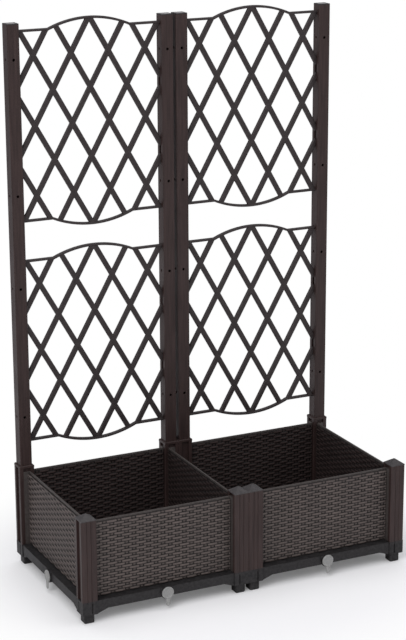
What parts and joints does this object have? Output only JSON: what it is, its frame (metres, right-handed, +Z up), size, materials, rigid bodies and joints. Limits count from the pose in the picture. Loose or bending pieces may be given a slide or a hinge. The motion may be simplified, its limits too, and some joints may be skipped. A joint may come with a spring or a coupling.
{
  "type": "planter with trellis",
  "caption": "Square wicker-look planters joined side by side, with feet, drain plugs and arched diamond lattices between tall posts behind.",
  "frame": {"origin": "on the floor, midway between the planters and at half their depth", "axes": "+X to the right seen from the front, +Y to the back where the trellis stands, +Z up"},
  "size_m": [0.8196, 0.4098, 1.2682],
  "materials": {
    "post": "satin, faint grain",
    "lattice": "satin",
    "tray": "matte",
    "cap": "satin",
    "trellis_end": "matte",
    "wicker": "woven, satin strands",
    "plug": "translucent, satin",
    "seal": "matte"
  },
  "bodies": {
    "planter": {"base_tray_left": "tray", "base_tray_right": "tray", "corner_post_left_back_left": "post", "corner_post_left_back_right": "post", "corner_post_left_front_left": "post", "corner_post_left_front_right": "post", "corner_post_right_back_left": "post", "corner_post_right_back_right": "post", "corner_post_right_front_left": "post", "corner_post_right_front_right": "post", "lattice_left_lower": "lattice", "lattice_left_upper": "lattice", "lattice_right_lower": "lattice", "lattice_right_upper": "lattice", "post_cap_left_front_left": "cap", "post_cap_left_front_right": "cap", "post_cap_right_front_left": "cap", "post_cap_right_front_right": "cap", "post_collar_left_back_left": "post", "post_collar_left_back_right": "post", "post_collar_right_back_left": "post", "post_collar_right_back_right": "post", "trellis_end_left_left": "trellis_end", "trellis_end_left_right": "trellis_end", "trellis_end_right_left": "trellis_end", "trellis_end_right_right": "trellis_end", "trellis_post_left_left": "post", "trellis_post_left_right": "post", "trellis_post_right_left": "post", "trellis_post_right_right": "post", "wicker_panel_left_back": "wicker", "wicker_panel_left_front": "wicker", "wicker_panel_left_left": "wicker", "wicker_panel_left_right": "wicker", "wicker_panel_right_back": "wicker", "wicker_panel_right_front": "wicker", "wicker_panel_right_right": "wicker"},
    "plug_left_front": {"drain_plug_left_front": "plug", "plug_seal_left_front": "seal"},
    "plug_left_side": {"drain_plug_left_side": "plug", "plug_seal_left_side": "seal"},
    "plug_right_front": {"drain_plug_right_front": "plug", "plug_seal_right_front": "seal"},
    "plug_right_side": {"drain_plug_right_side": "plug", "plug_seal_right_side": "seal"}
  },
  "joints": [
    {"name": "plug_left_front_pull", "type": "slide", "parent": "planter", "child": "plug_left_front", "axis": [0, -1, 0], "range_m": [0, 0.02]},
    {"name": "plug_right_front_pull", "type": "slide", "parent": "planter", "child": "plug_right_front", "axis": [0, -1, 0], "range_m": [0, 0.02]},
    {"name": "plug_left_side_pull", "type": "slide", "parent": "planter", "child": "plug_left_side", "axis": [-1, 0, 0], "range_m": [0, 0.02]},
    {"name": "plug_right_side_pull", "type": "slide", "parent": "planter", "child": "plug_right_side", "axis": [1, 0, 0], "range_m": [0, 0.02]}
  ]
}
